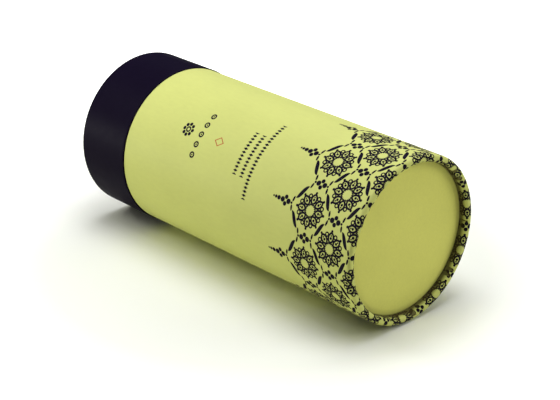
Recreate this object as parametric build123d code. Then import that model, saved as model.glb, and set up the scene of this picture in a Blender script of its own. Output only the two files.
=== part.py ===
from build123d import *
import os

# Round board gift tube with a pull-off lid, lying on its side. Millimetres.
# The tube's axis runs along X. The base with its rolled rim points to +X and
# the lid to -X. Z is up, and the origin is on the floor under the tube's middle.

# Overall sizes, lid closed
tube_length = 166.0
body_diameter = 70.0
lid_length = 30.0
seam_gap = 0.3

# Board and paper
wall = 1.2
paper = 0.2
glue_line = 0.05

# Rolled rims: the wall turns inwards, runs back to the disc and is pressed flat
rim_flat = 0.4
fold_gap = 0.4
recess_depth = 4.0

# End discs, held between a rolled rim and a tube glued in behind them
disc_thickness = 1.5

# Neck that the lid slides on, and the ring that backs the lid's disc
neck_wall = 1.2
neck_turn_in = 8.0
slide_clearance = 0.25
lid_turn_in = 8.0
ring_wall = 1.2
ring_length = 3.6
ring_gap = 0.5

# Worked out from the sizes above
skin = paper + glue_line
turn = wall + fold_gap / 2 - rim_flat / 2
rim_turn = turn + skin
body_length = tube_length - lid_length
body_radius = body_diameter / 2
body_board_radius = body_radius - skin
body_bore_radius = body_board_radius - wall
neck_radius = body_bore_radius - glue_line
neck_board_radius = neck_radius - skin
neck_bore_radius = neck_board_radius - neck_wall
lid_mouth_radius = neck_radius + slide_clearance
lid_bore_radius = lid_mouth_radius + skin
lid_board_radius = lid_bore_radius + wall
lid_radius = lid_board_radius + skin
ring_radius = lid_bore_radius - glue_line
lid_mouth = lid_length - seam_gap
disc_outside = recess_depth + paper
disc_inside = disc_outside + disc_thickness
stack_depth = disc_inside + paper
neck_end = tube_length - stack_depth - ring_length - ring_gap
axis_height = lid_radius


# Sections are drawn as (distance from the closed end, radius) and turned about X.
def turned(edges):
    """The solid that a closed outline sweeps round the tube's axis."""
    return revolve(make_face(edges), Axis.X, 360)


def chain(points):
    """Straight edges from point to point."""
    return [Line(a, b) for a, b in zip(points, points[1:])]


def rim_path(radius, arc, flat, mouth):
    """From the mouth along a wall's outside, round the rolled rim and back to the disc."""
    outer_middle = radius - arc
    inner_middle = outer_middle - flat
    face = rim_turn - arc
    edges = [Line((mouth, radius), (rim_turn, radius))]
    edges.append(CenterArc((rim_turn, outer_middle), arc, 90, 90))
    if flat:
        edges.append(Line((face, outer_middle), (face, inner_middle)))
    edges.append(CenterArc((rim_turn, inner_middle), arc, 180, 90))
    edges.append(Line((rim_turn, inner_middle - arc), (recess_depth, inner_middle - arc)))
    return edges


def rolled_board(board_radius, mouth):
    """A board tube whose closed end is rolled inwards over its disc."""
    bore_radius = board_radius - wall
    leg_inside = board_radius - 2 * turn - rim_flat
    leg_outside = bore_radius - fold_gap
    outside = rim_path(board_radius, turn, rim_flat, mouth)
    inside = rim_path(bore_radius, fold_gap / 2, 0, mouth)
    ends = [
        Line((recess_depth, leg_inside), (recess_depth, leg_outside)),
        Line((mouth, bore_radius), (mouth, board_radius)),
    ]
    return turned(outside + inside + ends)


def rim_skin(radius, mouth):
    """The outer and inner paths of the paper over a rolled wall, and its end at the disc."""
    outside = rim_path(radius, rim_turn, rim_flat, mouth)
    inside = rim_path(radius - paper, rim_turn - paper, rim_flat, mouth)
    leg_inside = radius - 2 * rim_turn - rim_flat
    end = Line((recess_depth, leg_inside), (recess_depth, leg_inside + paper))
    return outside + inside + [end]


def folded_edge(outer, inner, mouth, turn_in):
    """Paper folded over a tube's mouth: closes a skin's two paths and ends inside."""
    corner = mouth - skin
    under = mouth - paper
    deep = mouth - turn_in
    return [
        CenterArc((corner, outer - skin), skin, 0, 90),
        Line((mouth, outer - skin), (mouth, inner + skin)),
        CenterArc((corner, inner + skin), skin, 270, 90),
        *chain([
            (corner, inner),
            (deep, inner),
            (deep, inner + paper),
            (under, inner + paper),
            (under, outer - paper),
            (corner, outer - paper),
        ]),
    ]


def ring(start, end, outer, inner):
    """A plain tube between two distances from the closed end."""
    corners = [(start, inner), (end, inner), (end, outer), (start, outer), (start, inner)]
    return turned(chain(corners))


def disc(start, end, radius):
    """A flat disc between two distances from the closed end."""
    corners = [(start, 0), (end, 0), (end, radius), (start, radius), (start, 0)]
    return turned(chain(corners))


# The tube and its base
def body_tube():
    """Wound board tube, rolled inwards at the base."""
    return rolled_board(body_board_radius, body_length)


def body_wrap():
    """Printed paper, glued round the board and over the rolled rim."""
    edge = Line((body_length, body_radius), (body_length, body_radius - paper))
    return turned(rim_skin(body_radius, body_length) + [edge])


def neck_tube():
    """Inner tube, full length, that stands proud of the body as the lid's neck."""
    return ring(stack_depth, neck_end - skin, neck_board_radius, neck_bore_radius)


def neck_paper():
    """Paper on the outside of the inner tube, folded over its lip."""
    inner = neck_bore_radius - skin
    start = [
        Line((stack_depth, neck_radius), (neck_end - skin, neck_radius)),
        Line((stack_depth, neck_radius), (stack_depth, neck_radius - paper)),
        Line((stack_depth, neck_radius - paper), (neck_end - skin, neck_radius - paper)),
    ]
    return turned(start + folded_edge(neck_radius, inner, neck_end, neck_turn_in))


def base_disc_paper():
    """Coloured paper on the outside of the base disc."""
    return disc(recess_depth, disc_outside, neck_radius)


def base_disc():
    """Board disc, held between the rolled rim and the inner tube."""
    return disc(disc_outside, disc_inside, neck_radius)


def base_disc_lining():
    """White paper on the inside of the base disc."""
    return disc(disc_inside, stack_depth, neck_radius)


# The lid
def lid_tube():
    """Short board tube of the lid, rolled inwards at its closed end."""
    return rolled_board(lid_board_radius, lid_mouth - skin)


def lid_wrap():
    """Dark paper over the lid's rim and wall, folded in over its mouth."""
    fold = folded_edge(lid_radius, lid_mouth_radius, lid_mouth, lid_turn_in)
    return turned(rim_skin(lid_radius, lid_mouth - skin) + fold)


def lid_disc_paper():
    """Dark paper on the outside of the lid's disc."""
    return disc(recess_depth, disc_outside, ring_radius)


def lid_disc():
    """Board disc that closes the lid."""
    return disc(disc_outside, disc_inside, ring_radius)


def lid_disc_lining():
    """White paper on the inside of the lid's disc."""
    return disc(disc_inside, stack_depth, ring_radius)


def lid_ring():
    """Short board ring glued in behind the lid's disc, just short of the neck's lip."""
    return ring(stack_depth, stack_depth + ring_length, ring_radius, ring_radius - ring_wall)


# Both closed ends are drawn at zero, so each half is carried to its end of the tube.
half_length = tube_length / 2
base_end = Pos(half_length, 0, axis_height) * Rot(0, 0, 180)
lid_end = Pos(-half_length, 0, axis_height)

tube_pieces = [
    body_tube, body_wrap, neck_tube, neck_paper, base_disc_paper, base_disc, base_disc_lining,
]
lid_pieces = [lid_tube, lid_wrap, lid_disc_paper, lid_disc, lid_disc_lining, lid_ring]

os.makedirs("parts", exist_ok=True)
for place, pieces in ((base_end, tube_pieces), (lid_end, lid_pieces)):
    for piece in pieces:
        export_step(place * piece(), f"parts/{piece.__name__}.step")
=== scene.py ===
"""Looks of a round board gift tube with a pull-off lid, lying on its side.

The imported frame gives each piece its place. Lengths are in millimetres here and
become metres when a mesh is made. A place on a piece is its depth from the closed
end that it belongs to, its radius from the axis, and its angle round the axis,
from the top towards -Y.
"""
import logging
import math
from dataclasses import dataclass
from enum import Enum
from functools import reduce
from typing import Callable

import bmesh
import bpy
import numpy as np
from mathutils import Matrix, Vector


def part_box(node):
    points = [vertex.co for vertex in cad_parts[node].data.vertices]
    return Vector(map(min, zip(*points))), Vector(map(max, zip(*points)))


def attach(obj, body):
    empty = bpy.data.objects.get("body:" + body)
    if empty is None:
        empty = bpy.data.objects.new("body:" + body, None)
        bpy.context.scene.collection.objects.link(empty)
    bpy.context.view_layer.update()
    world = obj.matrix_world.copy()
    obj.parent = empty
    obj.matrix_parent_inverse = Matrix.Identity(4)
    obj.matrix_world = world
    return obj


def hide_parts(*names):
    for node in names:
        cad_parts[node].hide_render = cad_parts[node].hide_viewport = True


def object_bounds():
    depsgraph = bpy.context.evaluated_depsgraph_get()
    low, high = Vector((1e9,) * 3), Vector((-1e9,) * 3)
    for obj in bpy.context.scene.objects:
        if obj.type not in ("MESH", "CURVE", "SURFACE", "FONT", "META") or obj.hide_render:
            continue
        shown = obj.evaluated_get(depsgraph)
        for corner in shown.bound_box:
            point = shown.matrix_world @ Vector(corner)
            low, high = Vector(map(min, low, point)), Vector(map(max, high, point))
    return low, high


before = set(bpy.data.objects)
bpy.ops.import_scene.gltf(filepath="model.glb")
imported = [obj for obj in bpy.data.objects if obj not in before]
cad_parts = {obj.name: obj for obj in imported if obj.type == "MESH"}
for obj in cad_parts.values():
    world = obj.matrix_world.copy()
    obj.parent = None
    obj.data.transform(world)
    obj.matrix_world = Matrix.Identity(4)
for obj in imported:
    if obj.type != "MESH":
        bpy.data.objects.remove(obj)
cad_low, cad_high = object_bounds()

log = logging.getLogger("gift_tube")
MM = 0.001
FULL_TURN = 2 * math.pi
WHITE = (1.0, 1.0, 1.0, 1.0)

# Sizes that the frame's boxes don't give
NECK_WALL = 1.2
RING_WALL = 1.2
GLUE_LINE = 0.05
SLIDE_CLEARANCE = 0.25

# How much of its length a section's glued side gets in the map for baking
GLUED_SHARE = 0.25

# A Mix node's inputs for the share and two colours, and its output for the mixed colour
MIX_INPUTS = (0, 6, 7)
MIX_OUTPUT = 2

Pair = tuple[float, float]
Triple = tuple[float, float, float]
Colour = Triple
Finishes = dict[str, bpy.types.Material]
Socket = bpy.types.NodeSocket
Tree = bpy.types.NodeTree
Inputs = dict[str | int, object]


class End(Enum):
    """The tube's two closed ends, as the sign of X that each one points to."""

    BASE = 1
    LID = -1


class Carrier(Enum):
    """The two bodies of the frame that pieces ride on."""

    TUBE = "tube"
    LID = "lid"


def radius_of(node: str) -> float:
    """Outside radius of a round CAD node along X: half of its width along Y."""
    low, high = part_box(node)
    return (high.y - low.y) / 2 / MM


def depths_of(node: str, end: End) -> Pair:
    """How deep a CAD node starts and stops.

    Args:
        node: name of the node.
        end: the closed end to measure from.
    Returns:
        The nearer and the farther depth.
    """
    low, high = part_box(node)
    face = cad_high.x if end is End.BASE else -cad_low.x
    depths = sorted(face - end.value * x for x in (low.x, high.x))
    return depths[0] / MM, depths[1] / MM


def added(name: str, data: bpy.types.ID) -> bpy.types.Object:
    """Puts a mesh, a light or the camera into the scene, at the origin.

    Args:
        name: name of the object.
        data: what it shows.
    Returns:
        The object.
    """
    obj = bpy.data.objects.new(name, data)
    bpy.context.scene.collection.objects.link(obj)
    return obj


# Sections and the solids that they sweep round the axis


@dataclass
class Section:
    """A closed outline of a round piece, as points in order.

    Args:
        depth: distance of each point from the closed end.
        radius: distance of each point from the axis.
        along: each point's place along the paper's surface.
        seen: 1 on the side that shows and 0 on the glued side.
    """

    depth: np.ndarray
    radius: np.ndarray
    along: np.ndarray
    seen: np.ndarray

    def normals(self) -> tuple[np.ndarray, np.ndarray]:
        """Outward unit normals: a quarter turn from the chord between each point's neighbours.

        Returns:
            Their parts along the depth and along the radius.
        """
        next_depth, next_radius = np.roll(self.depth, -1), np.roll(self.radius, -1)
        run = next_depth - np.roll(self.depth, 1)
        rise = next_radius - np.roll(self.radius, 1)
        length = np.maximum(np.hypot(run, rise), 1e-9)
        side = 1.0 if np.sum(self.depth * next_radius - next_depth * self.radius) > 0 else -1.0
        return side * rise / length, -side * run / length

    def shares(self) -> np.ndarray:
        """Share of the outline walked, where the glued side counts less.

        Returns:
            One share for each point, and 1 at the end.
        """
        run = np.roll(self.depth, -1) - self.depth
        rise = np.roll(self.radius, -1) - self.radius
        shown = self.seen * np.roll(self.seen, -1)
        steps = np.hypot(run, rise) * (GLUED_SHARE + (1 - GLUED_SHARE) * shown)
        return np.concatenate([[0.0], np.cumsum(steps)]) / steps.sum()


Lift = Callable[[Section, np.ndarray], np.ndarray]


def no_lift(section: Section, angle: np.ndarray) -> np.ndarray:
    """A smooth surface: zero height at every point and angle."""
    return np.zeros((len(section.depth), len(angle)))


def closed_section(outside: np.ndarray, inside: np.ndarray, zero: float = 0.0) -> Section:
    """Joins the two faces of a sheet into one outline.

    The place along the surface is the length walked, counted down from zero's place.

    Args:
        outside: points (depth, radius) over the side that shows.
        inside: points (depth, radius) back along the other side.
        zero: the walked length at which the place along the surface is zero.
    Returns:
        The section.
    """
    points = np.concatenate([outside, inside])
    steps = np.hypot(*np.diff(points, axis=0).T)
    along = zero - np.concatenate([[0.0], np.cumsum(steps)])
    seen = np.concatenate([np.ones(len(outside)), np.zeros(len(inside))])
    return Section(points[:, 0], points[:, 1], along, seen)


def run(start: Pair, stop: Pair, steps: int) -> np.ndarray:
    """Even steps along a straight line, without its last point."""
    share = np.arange(steps)[:, None] / steps
    return np.array(start) * (1 - share) + np.array(stop) * share


def arc(middle: Pair, radius: float, first: float, last: float, steps: int) -> np.ndarray:
    """Even steps of (cosine, sine) along an arc from first to last degrees, without its end."""
    turn = np.radians(np.linspace(first, last, steps, endpoint=False))
    return np.array(middle) + radius * np.stack([np.cos(turn), np.sin(turn)], -1)


def turned(name: str, section: Section, end: End, lift: Lift, steps: int) -> bpy.types.Object:
    """Sweeps a section round the tube's axis into a closed mesh.

    A point at angle t is (x, -r sin t, axis + r cos t), where depth and radius r are
    first moved along the section's normal by the lift. The map "around" keeps the
    angle times the body's radius, and the place along the surface. A piece with no
    point on the axis also gets the map "OFBake", which lays the whole surface over one
    square for baked textures: the share of a turn, and that of the outline.

    Args:
        name: name of the object.
        section: the closed outline.
        end: the closed end that depths count from.
        lift: heights over the smooth surface.
        steps: how many copies of the section go round.
    Returns:
        The object.
    """
    angle = np.linspace(0.0, FULL_TURN, steps, endpoint=False)
    height = lift(section, angle)
    lean, rise = (part[:, None] for part in section.normals())
    off_axis = (section.radius > 0)[:, None]
    depth = section.depth[:, None] + lean * height
    radius = np.maximum(section.radius[:, None] + rise * height * off_axis, 0)
    face = (cad_high.x if end is End.BASE else -cad_low.x) / MM
    place = np.stack([
        end.value * (face - depth),
        -radius * np.sin(angle),
        radius_of("lid_wrap") + radius * np.cos(angle),
    ], -1).reshape(-1, 3) * MM

    rows = len(section.depth)
    i, j = np.meshgrid(np.arange(rows), np.arange(steps), indexing="ij")
    ahead, aside = (i + 1) % rows, (j + 1) % steps
    corners = ((i, j), (i, aside), (ahead, aside), (ahead, j))
    faces = np.stack([row * steps + column for row, column in corners], -1)

    # The faces that lead back to the first point are unprinted: both edges take its place
    here, there = section.along.copy(), np.roll(section.along, -1)
    here[-1] = there[-1]
    along = np.stack([here[i], here[i], there[i], there[i]], -1)
    turns = np.append(angle, FULL_TURN) / FULL_TURN
    across = np.stack([turns[j], turns[j + 1], turns[j + 1], turns[j]], -1)
    maps = {"around": (across * FULL_TURN * radius_of("body_wrap"), along)}
    meets_axis = section.radius.min() <= 0
    if not meets_axis:
        share = section.shares()
        maps["OFBake"] = (across, np.stack([share[i], share[i], share[i + 1], share[i + 1]], -1))

    # Where the volume is negative the faces point inwards, and are turned over
    a, b, c = (place[faces[..., k].ravel()] for k in range(3))
    order = -1 if np.sum(np.cross(a, b) * c) < 0 else 1
    mesh = bpy.data.meshes.new(name)
    mesh.from_pydata(place.tolist(), [], faces[..., ::order].reshape(-1, 4).tolist())
    for title, pair in maps.items():
        corner = np.stack(pair, -1)[..., ::order, :].astype(np.float32)
        mesh.uv_layers.new(name=title).uv.foreach_set("vector", corner.ravel())
    if meets_axis:
        close_poles(mesh)
    mesh.polygons.foreach_set("use_smooth", np.ones(len(mesh.polygons), bool))
    mesh.set_sharp_from_angle(angle=math.radians(40))
    mesh.update()
    return added(name, mesh)


def close_poles(mesh: bpy.types.Mesh) -> None:
    """Merges the points of a swept disc that meet on the axis.

    Args:
        mesh: the disc's mesh.
    """
    work = bmesh.new()
    work.from_mesh(mesh)
    bmesh.ops.remove_doubles(work, verts=work.verts, dist=1e-7)
    work.to_mesh(mesh)
    work.free()


def ease(value: np.ndarray, start: float, stop: float) -> np.ndarray:
    """A smooth step: 3t^2 - 2t^3, where t goes from 0 at start to 1 at stop."""
    t = np.clip((value - start) / (stop - start), 0.0, 1.0)
    return t * t * (3 - 2 * t)


def wrapped(angle: np.ndarray, centre: float) -> np.ndarray:
    """Signed angle from a centre, brought between minus and plus half a turn."""
    return (angle - centre + math.pi) % FULL_TURN - math.pi


# Shader trees


def feed(node: bpy.types.Node, inputs: Inputs) -> None:
    """Links inputs of a shader node, or sets them.

    Args:
        node: the node.
        inputs: a socket, a term or a constant for each input, by name or number.
    """
    for name, value in inputs.items():
        source = getattr(value, "socket", value)
        if isinstance(source, Socket):
            node.id_data.links.new(source, node.inputs[name])
        else:
            node.inputs[name].default_value = source


def add_node(tree: Tree, kind: str, inputs: Inputs, **options: object) -> bpy.types.Node:
    """Adds a shader node to a tree.

    Args:
        tree: the tree.
        kind: the node's type.
        inputs: what it is fed.
        options: its own settings.
    Returns:
        The node.
    """
    node = tree.nodes.new(kind)
    for option, value in options.items():
        setattr(node, option, value)
    feed(node, inputs)
    return node


def operation(kind: str, *fixed: float, clamp: bool = False) -> Callable[..., "Term"]:
    """A method that puts one kind of Math node on a term.

    Args:
        kind: the node's operation.
        fixed: numbers for its last inputs.
        clamp: whether the result is held between 0 and 1.
    Returns:
        The method, which takes terms or numbers for the inputs between.
    """

    def applied(self: "Term", *others: "Term | float") -> "Term":
        """The node's result."""
        given = dict(enumerate((self, *others, *fixed)))
        return Term(add_node(self.tree, "ShaderNodeMath", given, operation=kind, use_clamp=clamp))

    return applied


class Term:
    """A number that varies over a surface, as the output socket of a shader node."""

    def __init__(self, node: bpy.types.Node, output: str | int = 0) -> None:
        """Keeps one output of a node, and the node's tree."""
        self.socket = node.outputs[output]
        self.tree = node.id_data

    __add__ = operation("ADD")
    __sub__ = operation("SUBTRACT")
    __mul__ = operation("MULTIPLY")
    __truediv__ = operation("DIVIDE")
    __abs__ = operation("ABSOLUTE")
    __neg__ = operation("MULTIPLY", -1.0)
    sine = operation("SINE")
    cosine = operation("COSINE")
    root = operation("SQRT")
    smaller = operation("MINIMUM")
    most = operation("MAXIMUM")
    above = operation("GREATER_THAN")  # 1 where this is more than the limit, 0 elsewhere
    fold = operation("PINGPONG")  # runs up from 0 to the given length and down again
    held = operation("ADD", 0.0, clamp=True)  # this, held between 0 and 1
    turn_from = operation("ARCTAN2")  # angle of the point (x, this), where x is given

    def least(self, *others: "Term") -> "Term":
        """The smallest of this and the others."""
        return reduce(Term.smaller, others, self)


class Spot:
    """A point in the plane that varies over a surface."""

    def __init__(self, x: Term, y: Term) -> None:
        """Joins two terms into one vector."""
        self.tree = x.tree
        self.socket = add_node(x.tree, "ShaderNodeCombineXYZ", {0: x, 1: y}).outputs[0]

    def away(self, x: float = 0.0, y: float = 0.0) -> Term:
        """Distance from a fixed point: the root of the sum of the squares.

        Args:
            x: the point's first coordinate.
            y: its second coordinate.
        Returns:
            The distance.
        """
        ends = {0: self, 1: (x, y, 0.0)}
        node = add_node(self.tree, "ShaderNodeVectorMath", ends, operation="DISTANCE")
        return Term(node, "Value")

    def dots(self, *circles: Triple) -> Term:
        """Signed distance to filled circles, each given as (x, y, radius)."""
        first, *others = (self.away(x, y) - radius for x, y, radius in circles)
        return first.least(*others)

    def ring(self, x: float, y: float, radius: float, line: float) -> Term:
        """Signed distance to a circle drawn as a line of that width."""
        return abs(self.away(x, y) - radius) - line / 2


def seen_by_camera(tree: Tree) -> Term:
    """1 on rays that come from the camera and 0 on all others."""
    return Term(add_node(tree, "ShaderNodeLightPath", {}), "Is Camera Ray")


class Shader:
    """A new material with its principled shader, and short calls for common nodes."""

    def __init__(self, name: str) -> None:
        """Makes the material with an empty tree, a principled shader and its output.

        Args:
            name: the material's name.
        """
        self.material = bpy.data.materials.new(name)
        self.material.use_nodes = True
        self.tree = self.material.node_tree
        self.tree.nodes.clear()
        self.surface = add_node(self.tree, "ShaderNodeBsdfPrincipled", {})
        add_node(self.tree, "ShaderNodeOutputMaterial", {"Surface": self.surface.outputs[0]})
        self.place = add_node(self.tree, "ShaderNodeTexCoord", {}).outputs["Object"]

    def noise(self, per_metre: float, detail: float, stretch: Triple = (1.0, 1.0, 1.0)) -> Term:
        """Noise from 0 to 1 on the object's own coordinates.

        Args:
            per_metre: how many cells go in a metre.
            detail: how many finer layers are added.
            stretch: factors on X, Y and Z before the noise is read.
        Returns:
            The noise.
        """
        mapping = add_node(self.tree, "ShaderNodeMapping", {"Vector": self.place, "Scale": stretch})
        inputs = {"Vector": mapping.outputs[0], "Scale": per_metre, "Detail": detail}
        return Term(add_node(self.tree, "ShaderNodeTexNoise", inputs))

    def parts(self, vector: Socket) -> list[Term]:
        """The three coordinates of a vector."""
        split = add_node(self.tree, "ShaderNodeSeparateXYZ", {0: vector})
        return [Term(split, k) for k in range(3)]

    def from_axis(self) -> Term:
        """Millimetres from the tube's axis: the root of Y squared plus height squared."""
        side, up = self.parts(self.place)[1:]
        return Spot(side / MM, up / MM).away(0.0, radius_of("lid_wrap"))

    def around(self) -> list[Term]:
        """The surface map's two lengths in millimetres: round the tube, and along the paper."""
        node = add_node(self.tree, "ShaderNodeUVMap", {}, uv_map="around")
        return self.parts(node.outputs[0])[:2]

    def between(self, share: Term, first: object, second: object) -> Socket:
        """A colour that goes from the first to the second as the share goes from 0 to 1.

        Args:
            share: how much of the second colour shows.
            first: a colour or a colour socket.
            second: the same.
        Returns:
            The mixed colour.
        """
        ends = [c if isinstance(c, Socket) else (*c, 1.0) for c in (first, second)]
        inputs = dict(zip(MIX_INPUTS, (share, *ends)))
        return add_node(self.tree, "ShaderNodeMix", inputs, data_type="RGBA").outputs[MIX_OUTPUT]

    def bump(self, height: Term, depth: float) -> None:
        """Gives the surface relief, where a height of 1 stands for that depth."""
        inputs = {"Height": height, "Distance": depth * MM}
        feed(self.surface, {"Normal": add_node(self.tree, "ShaderNodeBump", inputs).outputs[0]})


def shade(colour: Colour, factor: float) -> Colour:
    """The colour made lighter or darker by a factor, channel by channel."""
    return tuple(min(c * factor, 1.0) for c in colour)


@dataclass(frozen=True)
class Paper:
    """Paper with fine fibres and a faint cloudiness, and on a disc a painted shade along its edge.

    Args:
        rough: mean roughness of the surface.
        rough_spread: how far the roughness varies over the sheet.
        gloss: specular level, where 0.5 is the gloss of bare plastic.
        cloud: how much the tone varies over the sheet.
        contrast: how sharply light and dark clouds part.
        fibre: depth of the fibres' relief.
        edge: radius at which a disc's paper meets its rim, where a painted shade darkens it.
        painted_shade_bands: width and strength of the two bands of painted shade along that edge.
        painted_shade_tone: how dark the painted shade gets, as a factor on the colour.
    """

    name: str
    colour: Colour
    rough: float = 0.62
    rough_spread: float = 0.1
    gloss: float = 0.35
    cloud: float = 0.05
    contrast: float = 1.8
    fibre: float = 0.02
    edge: float = 0.0
    painted_shade_bands: tuple[Pair, Pair] = ((2.6, 0.22), (0.45, 0.6))
    painted_shade_tone: float = 0.16

    def material(self) -> bpy.types.Material:
        """The sheet, with a painted shade along its edge where one is given, darkening the paper
        towards the rim's corner.

        Returns:
            The material.
        """
        shader = Shader(self.name)
        sheet = self.sheet(shader)
        if self.edge:
            # Painted shade: two soft bands darken the disc's paper towards the rim, standing in for
            # the shadow in that corner.
            off = shader.from_axis() - self.edge
            wide, narrow = ((off / width + 1.0).held() * part for width, part in self.painted_shade_bands)
            shadow = shade(self.colour, self.painted_shade_tone)
            sheet = shader.between((wide + narrow).held(), sheet, shadow)
        self.dress(shader, sheet, self.rough)
        return shader.material

    def sheet(self, shader: Shader) -> Socket:
        """Colour of the bare sheet: two tones mixed by broad clouds and short fibres.

        Args:
            shader: the material's shader.
        Returns:
            The colour.
        """
        clouds = shader.noise(42.0, 3.0)
        fibres = shader.noise(900.0, 2.0, (0.35, 1.0, 1.0))
        share = ((clouds * 0.6 + fibres * 0.4 - 0.5) * self.contrast + 0.5).held()
        dark, light = (shade(self.colour, 1 + side * self.cloud) for side in (-1, 1))
        return shader.between(share, dark, light)

    def dress(self, shader: Shader, colour: Socket, rough: Term | float) -> None:
        """Gives the surface its colour, roughness, gloss and relief.

        Args:
            shader: the material's shader.
            colour: the finished colour.
            rough: the roughness that the grain goes over.
        """
        grain = (shader.noise(260.0, 2.0) - 0.5) * self.rough_spread + rough
        inputs = {"Base Color": colour, "Roughness": grain, "Specular IOR Level": self.gloss}
        feed(shader.surface, inputs)
        shader.bump(shader.noise(1500.0, 3.0) + shader.noise(500.0, 2.0) * 1.4, self.fibre)


@dataclass(frozen=True)
class Board:
    """Wound board: layered fibres, with a plain face or a cut edge.

    Args:
        fleck: colour of the darker fibres in it.
        flecks: share of the surface that they cover.
        contrast: how sharply they stand out.
        tones: factors on the colour in the dark and the light clouds.
    """

    name: str
    colour: Colour
    fleck: Colour
    flecks: float = 0.35
    contrast: float = 4.0
    tones: Pair = (0.9, 1.08)

    def material(self) -> bpy.types.Material:
        """The finished material.

        Returns:
            The material.
        """
        shader = Shader(self.name)
        clouds = shader.noise(70.0, 3.0)
        base = shader.between(clouds, *(shade(self.colour, tone) for tone in self.tones))
        fibres = shader.noise(1400.0, 4.0, (0.5, 1.0, 1.0))
        share = ((fibres - (1 - self.flecks)) * self.contrast).held()
        feed(shader.surface, {
            "Base Color": shader.between(share, base, self.fleck),
            "Roughness": shader.noise(300.0, 2.0) * 0.12 + 0.8,
            "Specular IOR Level": 0.2,
        })
        shader.bump(fibres + clouds, 0.05)
        return shader.material


# The print


@dataclass(frozen=True)
class Ornament:
    """The print on the body: a band of rosettes in an ogee net, and a small label.

    Lengths round the tube count from the label's middle, and lengths along it from
    the crown of the rolled rim. Every motif is a signed distance, below zero in ink.
    The label's flower, beads and open lozenge are given by their places along it.

    Args:
        columns: how many times the net repeats round the tube.
        row: distance between two rows of crossings.
        first_row: place of the row nearest the lid.
        sway: how strongly the ogee bends, from 0 for straight lines to 1.
        leaf: half width of the net's leaves.
        leaf_reach: the square of a leaf's half length, in shares of a row.
        label_angle: angle of the label's middle from the top.
        rules: place and half length of each of its rows of small lozenges.
        softness: width of the ink's edge.
        spread: how far the ink creeps beyond each motif's outline.
    """

    columns: int = 10
    girth: float = FULL_TURN * radius_of("body_wrap")
    row: float = 13.5
    first_row: float = 39.2
    sway: float = 0.8
    leaf: float = 0.9
    leaf_reach: float = 0.024
    label_angle: float = 47.0
    flower: float = 104.2
    beads: float = 96.1
    lozenge: float = 84.9
    rules: tuple[Pair, ...] = ((69.9, 9.7), (65.7, 9.7), (61.5, 17.7))
    softness: float = 0.1
    spread: float = 0.05

    def half_pitch(self) -> float:
        """Half of the width of one repeat round the tube."""
        return self.girth / self.columns / 2

    def from_label(self, around: Term) -> Term:
        """Length round the tube from the label's middle."""
        return around - self.girth * self.label_angle / 360

    def printed(self, signed: Term) -> Term:
        """1 in the ink and 0 outside, with a soft edge between."""
        return (signed / -self.softness + (0.5 + self.spread / self.softness)).held()

    def ink(self, around: Term, along: Term) -> Term:
        """Share of dark ink, from the band and the label together."""
        across = self.from_label(around)
        return self.printed(self.band(across, along).least(self.label(across, along)))

    def accent(self, around: Term, along: Term) -> Term:
        """Share of the warm second ink: one small open lozenge in the label."""
        lozenge = abs(self.from_label(around)) + abs(along - self.lozenge) * 0.8
        return self.printed(abs(lozenge - 1.9) - 0.22)

    def band(self, across: Term, along: Term) -> Term:
        """Signed distance to the band: net, rosettes, crossings and the dots over the top row.

        Both directions are folded, so each motif is drawn once. The ogee runs from
        side 0 to half a pitch as the climb goes from 0 to 1, along t less a share of
        the sine of a full turn of t. Motifs are cut off over the top row.

        Args:
            across: length round the tube.
            along: length along the tube.
        Returns:
            The distance.
        """
        half = self.half_pitch()
        side = (across + half).fold(half)
        rows = (along - self.first_row) / -self.row
        climb = rows.fold(1.0)
        curve = (climb - (climb * FULL_TURN).sine() * (self.sway / FULL_TURN)) * half
        outer = side.above(curve)
        near = climb.above(0.5)
        net = self.net(side - curve, climb).most(-rows * self.row)
        rosette = self.rosette(abs(side - outer * half), abs(climb + outer - 1.0) * self.row)
        crossing = self.crossing(abs(side - near * half), abs(climb - near) * self.row)
        return net.least(
            rosette.most((outer - rows) * self.row),
            crossing.most((-rows - 0.3) * self.row),
            self.finial(Spot(side, -rows * self.row)),
        )

    def net(self, offset: Term, climb: Term) -> Term:
        """Signed distance to the net's marks: a leaf between two beads on each side of a cell.

        The offset over the root of one plus the slope squared is the distance from
        the ogee. The leaf's half width falls with the square of the way from its middle.

        Args:
            offset: length round the tube from the ogee.
            climb: share of a row climbed.
        Returns:
            The distance.
        """
        slope = ((climb * FULL_TURN).cosine() * -self.sway + 1.0) * (self.half_pitch() / self.row)
        off = abs(offset) / (slope * slope + 1.0).root()
        middle = abs(climb - 0.5)
        leaf = off - (middle * middle / -self.leaf_reach + 1.0) * self.leaf
        return leaf.least(Spot(off, middle * (self.row * 1.5)).dots((0.0, 4.35, 0.74)))

    def rosette(self, x: Term, y: Term) -> Term:
        """Signed distance to a rosette of eight leaves, drawn in a sixteenth of a turn and mirrored.

        Its heart is a ring whose radius waves with 16 times the angle.

        Args:
            x: length round the tube from the rosette's middle.
            y: length along the tube from its middle.
        Returns:
            The distance.
        """
        radius = Spot(x, y).away()
        wedge = y.turn_from(x).fold(math.pi / 8)
        spot = Spot(radius * wedge.cosine(), radius * wedge.sine())
        heart = abs(radius - (wedge * 16.0).cosine() * 0.2 - 2.35) - 0.28
        return heart.least(
            spot.ring(4.55, -0.9, 2.15, 0.74),
            spot.ring(5.35, 2.2, 0.72, 0.48),
            spot.dots((4.35, 0.0, 0.52), (5.35, 0.0, 0.3), (7.1, 0.0, 0.5), (3.6, 1.49, 0.42)),
        )

    def crossing(self, x: Term, y: Term) -> Term:
        """Signed distance to the small flower where the net's lines meet."""
        return Spot(x, y).dots((0.0, 1.6, 1.05), (1.35, 0.0, 0.85), (0.0, 3.3, 0.46))

    def finial(self, spot: Spot) -> Term:
        """Signed distance to the three graded dots over each tip of the net."""
        return spot.dots((0.0, 3.7, 0.85), (0.0, 5.3, 0.6), (0.0, 6.5, 0.38))

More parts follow.
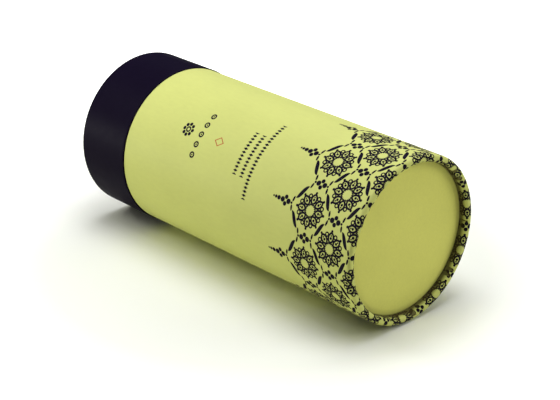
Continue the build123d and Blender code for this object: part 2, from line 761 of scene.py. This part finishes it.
    def label(self, across: Term, along: Term) -> Term:
        """Signed distance to the label: a flower, a row of rings and three rows of lozenges.

        Args:
            across: length round the tube.
            along: length along the tube.
        Returns:
            The distance.
        """
        side = abs(across)
        flower = Spot(side, abs(along - self.flower))
        petals = flower.dots((2.4, 0.0, 0.76), (0.0, 2.4, 0.76), (1.7, 1.7, 0.76))
        bloom = flower.ring(0.0, 0.0, 1.0, 0.6)
        half_pitch, half_length = 2.3, 11.0
        bead = Spot((across + half_pitch).fold(half_pitch) - half_pitch, along - self.beads)
        beads = bead.ring(0.0, 0.0, 1.05, 0.6).least(bead.dots((0.0, 0.0, 0.32)))
        rules = [
            self.lozenges(across, along - place).most(side - reach)
            for place, reach in self.rules
        ]
        return bloom.least(petals, beads.most(side - half_length), *rules)

    def lozenges(
        self, across: Term, off: Term, step: float = 1.6, wide: float = 0.56, tall: float = 1.15,
    ) -> Term:
        """Signed distance to an endless row of upright lozenges, by their half width and height."""
        x = abs((across + step / 2).fold(step / 2) - step / 2)
        return (x * tall + abs(off) * wide - tall * wide) / math.hypot(tall, wide)


@dataclass(frozen=True)
class PrintedPaper(Paper):
    """Paper with the ornament printed on it in a dark ink and a warm accent, and a painted shade
    where it turns in to the disc.

    Args:
        wear: least share of ink that a worn spot keeps.
        wear_spread: how far that share varies.
        ink_rough: how much rougher the ink is than the sheet.
        corner: colour of the painted shade in the corner between the rim and the disc.
        crevice_shade_from: place along the paper where that painted shade starts.
        crevice_shade_width: length over which it comes in.
        crevice_shade_share: how strong it gets.
    """

    ink: Colour = (0.0035, 0.001, 0.013)
    warm: Colour = (0.52, 0.13, 0.03)
    wear: float = 0.97
    wear_spread: float = 0.05
    ink_rough: float = 0.3
    corner: Colour = (0.06, 0.046, 0.014)
    crevice_shade_from: float = -1.9
    crevice_shade_width: float = 1.8
    crevice_shade_share: float = 0.88
    ornament: Ornament = Ornament()

    def material(self) -> bpy.types.Material:
        """The sheet, the accent, the ink and a painted shade in the corner by the disc, one over
        another.

        Returns:
            The material.
        """
        shader = Shader(self.name)
        around, along = shader.around()
        accent = self.ornament.accent(around, along)
        warm = shader.between(accent, self.sheet(shader), self.warm)
        worn = shader.noise(1800.0, 2.0) * self.wear_spread + self.wear
        share = (self.ornament.ink(around, along) * worn).held()
        inked = shader.between(share, warm, self.ink)
        # Painted shade: the paper darkens along the rim's inner leg towards the disc, standing in
        # for the shadow in that corner.
        depth = ((along - self.crevice_shade_from) / -self.crevice_shade_width).held()
        finished = shader.between(depth * self.crevice_shade_share, inked, self.corner)
        self.dress(shader, finished, share * self.ink_rough + self.rough)
        return shader.material


# Relief of the glued papers


@dataclass(frozen=True)
class PaperRelief:
    """Heights of a glued wrap over the board below it.

    Args:
        lap_angle: where the wrap's top edge ends, in degrees from the top.
        lap_width: how far the wrap laps over its own start.
        lap_edges: widths of the rise over the covered edge and of the drop at the cut edge.
        lap_pressed: share of the lap's height that is left over the rim.
        lap_free: places along the paper between which the lap gets its full height.
        sheet: thickness of the paper.
        wave: height of the board's slow unevenness.
        waves: turns, length along the tube and start of each slow wave.
        pleat: height of the small pleats inside the rolled rim.
        pleat_widths: least and greatest width of a pleat.
        pleat_sizes: greatest and least depth of one, as shares of the height.
        pleat_limit: the deepest that overlapping pleats get, as a share.
        pleat_from: lengths past the crown between which the pleats grow.
        seed: start of the pleats' random places.
    """

    lap_angle: float
    lap_width: float = 9.0
    lap_edges: Pair = (1.2, 0.25)
    lap_pressed: float = 0.15
    lap_free: Pair = (0.5, 6.0)
    sheet: float = 0.16
    wave: float = 0.02
    waves: tuple[Triple, ...] = ((3, 31.0, 0.0), (5, -23.0, 1.0), (2, 11.0, 2.0))
    pleat: float = 0.26
    pleats: int = 80
    pleat_widths: Pair = (0.5, 1.3)
    pleat_sizes: Pair = (-1.0, -0.1)
    pleat_limit: float = -1.2
    pleat_from: Pair = (-2.0, 1.6)
    seed: int = 7

    def __call__(self, section: Section, angle: np.ndarray) -> np.ndarray:
        """Heights as a grid of the section's points by angles.

        The slow waves are sines of the angle and the depth. The lap is one sheet high
        and pressed nearly flat over the rim. The pleats are narrow dents at seeded
        angles, which grow over the rim's crown and run on inside.

        Args:
            section: the outline to be lifted.
            angle: the angles round the axis.
        Returns:
            The heights.
        """
        depth, along = section.depth[:, None], section.along[:, None]
        radius = section.radius.max()
        wave = sum(
            np.sin(turns * angle[None, :] + depth / length + start)
            for turns, length, start in self.waves
        )
        rise, drop = self.lap_edges
        off = wrapped(angle, math.radians(self.lap_angle)) * radius
        covered = ease(off, -self.lap_width - rise, -self.lap_width)
        lap = self.sheet * (covered * (1 - ease(off, -drop, 0.0)))[None, :]
        pressed = self.lap_pressed + (1 - self.lap_pressed) * ease(along, *self.lap_free)

        rng = np.random.default_rng(self.seed)
        places = rng.uniform(0, FULL_TURN, self.pleats)
        widths = rng.uniform(*self.pleat_widths, self.pleats) / radius
        sizes = rng.uniform(*self.pleat_sizes, self.pleats)
        offs = (wrapped(angle[:, None], 0.0) - wrapped(places, 0.0)) / widths
        dents = np.maximum((np.exp(-offs ** 2) * sizes).sum(1), self.pleat_limit)[None, :]
        pleats = self.pleat * dents * ease(-along, *self.pleat_from)
        height = self.wave * (wave / len(self.waves) - 1) + lap * pressed + pleats
        return section.seen[:, None] * height


@dataclass(frozen=True)
class WoundSeam:
    """The butt joint of a spirally wound inner ply, as a shallow groove.

    Args:
        pitch: distance along the tube for one turn of the ply.
        inner_radius: radius of the bore, the only face that is grooved.
        depth: depth of the groove.
        width: its half width.
        slack: how far a point of the bore may lie from its radius.
    """

    pitch: float
    inner_radius: float
    depth: float = 0.14
    width: float = 0.55
    slack: float = 0.01

    def __call__(self, section: Section, angle: np.ndarray) -> np.ndarray:
        """Heights: minus a bell of the distance from the helix, angle equal to depth over pitch.

        Args:
            section: the outline to be lifted.
            angle: the angles round the axis.
        Returns:
            The heights.
        """
        helix = section.depth[:, None] / self.pitch * FULL_TURN
        lead = self.pitch / FULL_TURN
        off = wrapped(angle[None, :], helix) * lead / math.hypot(1.0, lead / self.inner_radius)
        inner = (abs(section.radius - self.inner_radius) < self.slack)[:, None]
        return -self.depth * np.exp(-((off / self.width) ** 2)) * inner


@dataclass(frozen=True)
class DiscRelief:
    """Slight unevenness of paper on a disc, flat at its held edge."""

    radius: float
    height: float = 0.04

    def __call__(self, section: Section, angle: np.ndarray) -> np.ndarray:
        """Heights: two slow waves across the face, times one less the radius squared.

        Args:
            section: the outline to be lifted.
            angle: the angles round the axis.
        Returns:
            The heights.
        """
        share = section.radius[:, None] / self.radius
        x, y = share * np.cos(angle), share * np.sin(angle)
        wave = np.sin(2.4 * x + 1.1 * y + 0.6) * np.cos(1.7 * y - 0.9 * x)
        return -section.seen[:, None] * self.height * np.abs(wave) * (1 - share ** 2)


# Sub-assemblies


@dataclass(frozen=True)
class RolledRim:
    """A wall whose closed end is rolled inwards and run back to the disc.

    Args:
        turn: radius of the rolled edge over the paper.
        flat: width of the pressed face.
        recess: how deep the disc lies.
    """

    turn: float = 1.45
    flat: float = 0.4
    recess: float = 4.0

    def path(
        self, radius: float, inset: float, mouth: float, wall_steps: int, bend_steps: int = 12,
    ) -> np.ndarray:
        """The wall's outline from its mouth, round the rim and back to the disc.

        A straight run, a quarter arc, the flat, another quarter arc and the leg.

        Args:
            radius: radius of the wall's outside.
            inset: how far the outline lies under that outside.
            mouth: depth at which it starts.
            wall_steps: number of steps along the straight wall.
            bend_steps: number of steps in each arc.
        Returns:
            Points as (depth, radius).
        """
        bend = self.turn - inset
        outer, inner = radius - self.turn, radius - self.turn - self.flat
        return np.concatenate([
            run((mouth, radius - inset), (self.turn, radius - inset), wall_steps),
            arc((self.turn, outer), bend, 90, 180, bend_steps),
            run((self.turn - bend, outer), (self.turn - bend, inner), steps=2),
            arc((self.turn, inner), bend, 180, 270, bend_steps),
            run((self.turn, inner - bend), (self.recess, inner - bend), steps=6),
            [(self.recess, inner - bend)],
        ])

    def glued(self, radius: float, inset: float, mouth: float) -> np.ndarray:
        """The outline of the face that doesn't show: in few steps, from the disc to the mouth."""
        return self.path(radius, inset, mouth, wall_steps=2, bend_steps=4)[::-1]

    def crown(self, mouth: float) -> float:
        """Length walked over the outside from the mouth to the middle of the pressed face."""
        return (mouth - self.turn) + self.turn * math.pi / 2 + self.flat / 2


@dataclass(frozen=True)
class FoldedMouth:
    """Paper folded over a wall's mouth and run a little way inside.

    Args:
        skin: thickness of the paper with its glue.
        sheet: thickness of the paper.
        steps: steps in each corner.
    """

    skin: float = 0.25
    sheet: float = 0.2
    steps: int = 4

    def outside(self, outer: float, inner: float, mouth: float, deep: float) -> np.ndarray:
        """From the fold's end inside the mouth, over the edge, to the outside wall.

        Args:
            outer: radius of the wall's outside.
            inner: radius inside the fold.
            mouth: depth of the mouth.
            deep: depth at which the fold ends.
        Returns:
            Points as (depth, radius).
        """
        corner = mouth - self.skin
        return np.concatenate([
            run((deep, inner), (corner, inner), steps=8),
            arc((corner, inner + self.skin), self.skin, -90, 0, self.steps),
            run((mouth, inner + self.skin), (mouth, outer - self.skin), steps=3),
            arc((corner, outer - self.skin), self.skin, 0, 90, self.steps),
        ])

    def inside(self, outer: float, inner: float, mouth: float, deep: float) -> np.ndarray:
        """The same fold's glued face, from the outside wall back to its end."""
        under, lining = mouth - self.sheet, inner + self.sheet
        return np.array([(under, outer - self.sheet), (under, lining), (deep, lining)])


def flat_disc(start: float, stop: float, radius: float, rings: int = 20) -> Section:
    """Outline of a disc with rings of points on its face, for relief to move.

    Args:
        start: depth of the face that shows.
        stop: depth of the other face.
        radius: its radius.
        rings: number of rings on the face that shows.
    Returns:
        The section.
    """
    face = np.concatenate([run((start, 0.0), (start, radius), rings), [(start, radius)]])
    back = np.array([(stop, radius), (stop, 0.0)])
    return closed_section(face, back)


@dataclass
class Part:
    """Shared steps of both halves: making a piece, dressing it and putting it on its body.

    Args:
        finishes: every finish by its slot.
        end: the closed end that the half's depths count from.
        wrap_steps: copies of a wrap's section round the axis.
        tube_steps: the same for a board tube.
        disc_steps: the same for a disc's paper.
    """

    finishes: Finishes
    end: End
    carrier: Carrier
    rim: RolledRim = RolledRim()
    fold: FoldedMouth = FoldedMouth()
    wrap_steps: int = 480
    tube_steps: int = 300
    disc_steps: int = 180

    def piece(self, node: str, section: Section, lift: Lift, slot: str, steps: int) -> None:
        """Makes a piece that stands for a CAD node.

        Args:
            node: name of the node that it replaces.
            section: its outline.
            lift: its relief.
            slot: the record's material slot, which names its finish.
            steps: copies of the section round the axis.
        """
        made = turned(f"{node}_surface", section, self.end, lift, steps)
        made.data.materials.append(self.finishes[slot])
        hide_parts(node)
        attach(made, self.carrier.value)
        log.info("%s: %d faces", made.name, len(made.data.polygons))

    def keep(self, node: str) -> None:
        """Gives a CAD node of bare board its finish and leaves its shape alone.

        Args:
            node: name of the node.
        """
        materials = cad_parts[node].data.materials
        materials.clear()
        materials.append(self.finishes["board"])
        log.info("%s: kept with %s", node, materials[0].name)

    def disc_papers(self, disc: str, outer_slot: str) -> None:
        """The papers on the two faces of a disc, white on the inside.

        Args:
            disc: name of the disc's node.
            outer_slot: slot of the paper on the outside.
        """
        papers = ((f"{disc}_paper", outer_slot, 1), (f"{disc}_lining", "white_paper", -1))
        for node, slot, order in papers:
            shown, other = depths_of(node, self.end)[::order]
            radius = radius_of(node)
            section = flat_disc(shown, other, radius)
            self.piece(node, section, DiscRelief(radius), slot, self.disc_steps)


@dataclass
class Body(Part):
    """The tube: board, printed wrap, inner tube with its paper, and base disc."""

    end: End = End.BASE
    carrier: Carrier = Carrier.TUBE
    wall_step: float = 2.2
    neck_step: float = 0.8
    neck_turn_in: float = 8.0
    neck_paper_steps: int = 360
    winding: float = 92.0

    def build(self) -> None:
        """Makes every piece of the tube."""
        self.wrap()
        self.neck()
        self.disc_papers("base_disc", "plain_paper")
        self.keep("body_tube")
        self.keep("base_disc")

    def wrap(self) -> None:
        """The printed paper over the wall and the rolled rim."""
        radius = radius_of("body_wrap")
        mouth = depths_of("body_wrap", self.end)[1]
        outside = self.rim.path(radius, 0.0, mouth, round(mouth / self.wall_step))
        inside = self.rim.glued(radius, self.fold.sheet, mouth)
        section = closed_section(outside, inside, self.rim.crown(mouth))
        relief = PaperRelief(lap_angle=-128.0)
        self.piece("body_wrap", section, relief, "printed_paper", self.wrap_steps)

    def neck(self) -> None:
        """The inner tube with its wound seam, and the paper over its outside and lip."""
        start, stop = depths_of("neck_tube", self.end)
        outer = radius_of("neck_tube")
        inner = outer - NECK_WALL
        bore = run((start, inner), (stop, inner), round((stop - start) / self.neck_step))
        back = np.array([(stop, inner), (stop, outer), (start, outer)])
        seam = WoundSeam(self.winding, inner)
        self.piece("neck_tube", closed_section(bore, back), seam, "lined_board", self.tube_steps)

        start, mouth = depths_of("neck_paper", self.end)
        outside, inside = radius_of("neck_paper"), inner - self.fold.skin
        shape = (outside, inside, mouth, mouth - self.neck_turn_in)
        wall = run((mouth - self.fold.skin, outside), (start, outside), steps=30)
        shown = np.concatenate([self.fold.outside(*shape), wall, [(start, outside)]])
        glued = np.concatenate([[(start, outside - self.fold.sheet)], self.fold.inside(*shape)])
        section = closed_section(shown, glued)
        relief = PaperRelief(lap_angle=150.0, sheet=0.1, pleat=0.0, wave=0.01)
        self.piece("neck_paper", section, relief, "dark_paper", self.neck_paper_steps)


@dataclass
class Lid(Part):
    """The lid: board, dark wrap folded in at the mouth, disc with its papers, and ring."""

    end: End = End.LID
    carrier: Carrier = Carrier.LID
    wall_step: float = 1.5
    turn_in: float = 8.0
    winding: float = 88.0

    def build(self) -> None:
        """Makes every piece of the lid."""
        self.wrap()
        self.tube()
        self.ring()
        self.disc_papers("lid_disc", "dark_paper")
        self.keep("lid_disc")

    def wrap(self) -> None:
        """The dark paper over the rim and wall, folded in over the mouth."""
        radius = radius_of("lid_wrap")
        mouth = depths_of("lid_wrap", self.end)[1]
        mouth_radius = radius_of("neck_paper") + SLIDE_CLEARANCE
        shape = (radius, mouth_radius, mouth, mouth - self.turn_in)
        start = mouth - self.fold.skin
        outside = self.rim.path(radius, 0.0, start, round(start / self.wall_step))
        inside = self.rim.glued(radius, self.fold.sheet, start)
        section = closed_section(
            np.concatenate([self.fold.outside(*shape), outside]),
            np.concatenate([inside, self.fold.inside(*shape)]),
            self.turn_in + radius - mouth_radius + self.rim.crown(start),
        )
        relief = PaperRelief(lap_angle=-122.0, seed=11)
        self.piece("lid_wrap", section, relief, "dark_paper", self.wrap_steps)

    def tube(self) -> None:
        """The board wall with its rolled edge."""
        mouth = depths_of("lid_tube", self.end)[1]
        bore = radius_of("lid_ring") + GLUE_LINE
        half_gap = self.rim.flat / 2
        outside = self.rim.path(radius_of("lid_wrap"), self.fold.skin, mouth, wall_steps=24)
        inside = np.concatenate([
            [(self.rim.recess, bore - self.rim.flat)],
            arc((self.rim.turn, bore - half_gap), half_gap, 270, 90, steps=8),
            run((self.rim.turn, bore), (mouth, bore), steps=40),
            [(mouth, bore)],
        ])
        seam = WoundSeam(self.winding, bore)
        section = closed_section(outside, inside)
        self.piece("lid_tube", section, seam, "lined_board", self.tube_steps)

    def ring(self) -> None:
        """The ring behind the disc."""
        start, stop = depths_of("lid_ring", self.end)
        radius = radius_of("lid_ring")
        inner = radius - RING_WALL
        bore = run((start, inner), (stop, inner), steps=6)
        face = np.concatenate([bore, [(stop, inner), (stop, radius)]])
        section = closed_section(face, np.array([(start, radius)]))
        self.piece("lid_ring", section, no_lift, "lined_board", self.tube_steps)


# The studio


@dataclass(frozen=True)
class Lamp:
    """A square soft light that faces the middle of the tube; its size is its side."""

    name: str
    place: Triple
    size: float
    watts: float
    colour: Colour = (1.0, 1.0, 1.0)

    def build(self) -> None:
        """Makes the light and turns it to the tube."""
        data = bpy.data.lights.new(self.name, "AREA")
        data.shape = "SQUARE"
        data.size = self.size * MM
        data.energy = self.watts
        data.color = self.colour
        lamp = added(self.name, data)
        lamp.location = [c * MM for c in self.place]
        x, y, z = self.place
        tilt = math.atan2(math.hypot(x, y), z - radius_of("lid_wrap"))
        lamp.rotation_euler = (tilt, 0.0, math.atan2(x, -y))


@dataclass
class Studio:
    """Plain pale floor, soft light and the camera at the photograph's angle.

    Args:
        heading: the camera's turn to the left from looking along +Y, in degrees.
        tilt: its tilt below the horizon, in degrees.
        focal: its focal length in pixels of a picture of picture_width.
        ambient: strength of the even light from all round.
        floor_lit: the floor's colour in the light that it throws on the tube.
        floor_shown: its colour to the camera.
        white_from: distance from the tube where the floor starts to glow for the camera.
        glow: how fast the glow grows with the distance.
    """

    camera: Triple = (430.8, -395.7, 287.7)
    heading: float = 46.91
    tilt: float = 24.11
    focal: float = 1510.0
    picture_width: float = 560.0
    sensor: float = 36.0
    ambient: float = 0.01
    floor_half: float = 3000.0
    floor_lit: Colour = (0.8, 0.8, 0.64)
    floor_shown: Colour = (0.985, 1.0, 0.82)
    white_from: float = 95.0
    glow: float = 0.7
    lamps: tuple[Lamp, ...] = (
        Lamp("top_light", (0.0, 0.0, 1200.0), 900.0, 8.4, (1.0, 1.0, 1.2)),
        Lamp("high_light", (0.0, 0.0, 700.0), 260.0, 0.65, (1.0, 1.0, 1.2)),
        Lamp("back_light", (-420.0, 700.0, 900.0), 800.0, 2.6, (1.0, 1.0, 1.2)),
        Lamp("right_light", (700.0, 600.0, 500.0), 600.0, 3.5),
        Lamp("left_light", (-230.0, -190.0, 290.0), 160.0, 0.42),
        Lamp("low_left_light", (-700.0, -520.0, 55.0), 100.0, 2.15),
    )

    def build(self) -> None:
        """Makes the whole studio."""
        self.make_camera()
        self.make_floor()
        self.make_world()
        for lamp in self.lamps:
            lamp.build()
        bpy.context.scene.view_settings.view_transform = "Standard"

    def make_camera(self) -> None:
        """The camera, level and aimed by its heading and tilt."""
        data = bpy.data.cameras.new("camera")
        data.sensor_width = self.sensor
        data.lens = self.focal / self.picture_width * self.sensor
        data.clip_start, data.clip_end = 0.01, 20.0
        made = added("camera", data)
        made.location = [c * MM for c in self.camera]
        made.rotation_euler = (math.radians(90 - self.tilt), 0.0, math.radians(self.heading))
        bpy.context.scene.camera = made

    def make_floor(self) -> None:
        """A wide floor at height zero, whiter to the camera than to the tube, that glows far off."""
        half = self.floor_half * MM
        corners = [(-half, -half, 0), (half, -half, 0), (half, half, 0), (-half, half, 0)]
        mesh = bpy.data.meshes.new("floor")
        mesh.from_pydata(corners, [], [(0, 1, 2, 3)])
        shader = Shader("floor_paper")
        seen = seen_by_camera(shader.tree)
        away = Spot(*shader.parts(shader.place)[:2]).away() / (self.white_from * MM) - 1.0
        feed(shader.surface, {
            "Base Color": shader.between(seen, self.floor_lit, self.floor_shown),
            "Emission Color": WHITE,
            "Emission Strength": (away * self.glow).held() * seen,
            "Roughness": 0.9,
            "Specular IOR Level": 0.0,
        })
        mesh.materials.append(shader.material)
        added("floor", mesh)

    def make_world(self) -> None:
        """Even light from all round, which the camera sees as plain white."""
        world = bpy.data.worlds.new("studio")
        world.use_nodes = True
        tree = world.node_tree
        tree.nodes.clear()
        strength = seen_by_camera(tree) * (1.0 - self.ambient) + self.ambient
        sky = add_node(tree, "ShaderNodeBackground", {"Color": WHITE, "Strength": strength})
        add_node(tree, "ShaderNodeOutputWorld", {"Surface": sky.outputs[0]})
        bpy.context.scene.world = world


def make_finishes() -> Finishes:
    """Every finish by the name of its slot in the record.

    Returns:
        The materials.
    """
    made = (
        PrintedPaper("printed_paper", (0.67, 0.708, 0.195), rough=0.5, gloss=0.08),
        # The base disc's plain paper gets the painted shade along its edge at 31.7 mm.
        Paper("plain_paper", (0.8, 0.8, 0.188), gloss=0.1, cloud=0.07, edge=31.7),
        Paper("dark_paper", (0.007, 0.0044, 0.0132), rough=0.46, gloss=0.019, cloud=0.12),
        Paper("white_paper", (0.8, 0.79, 0.74)),
        Board("lined_board", (0.74, 0.72, 0.66), (0.5, 0.46, 0.4), flecks=0.2),
        Board("board", (0.36, 0.31, 0.25), (0.16, 0.13, 0.1)),
    )
    return {finish.name: finish.material() for finish in made}


def main() -> None:
    """Builds the studio and both halves of the tube, in order."""
    logging.basicConfig(level=logging.INFO)
    Studio().build()
    finishes = make_finishes()
    Body(finishes).build()
    Lid(finishes).build()


if __name__ == "__main__":
    main()
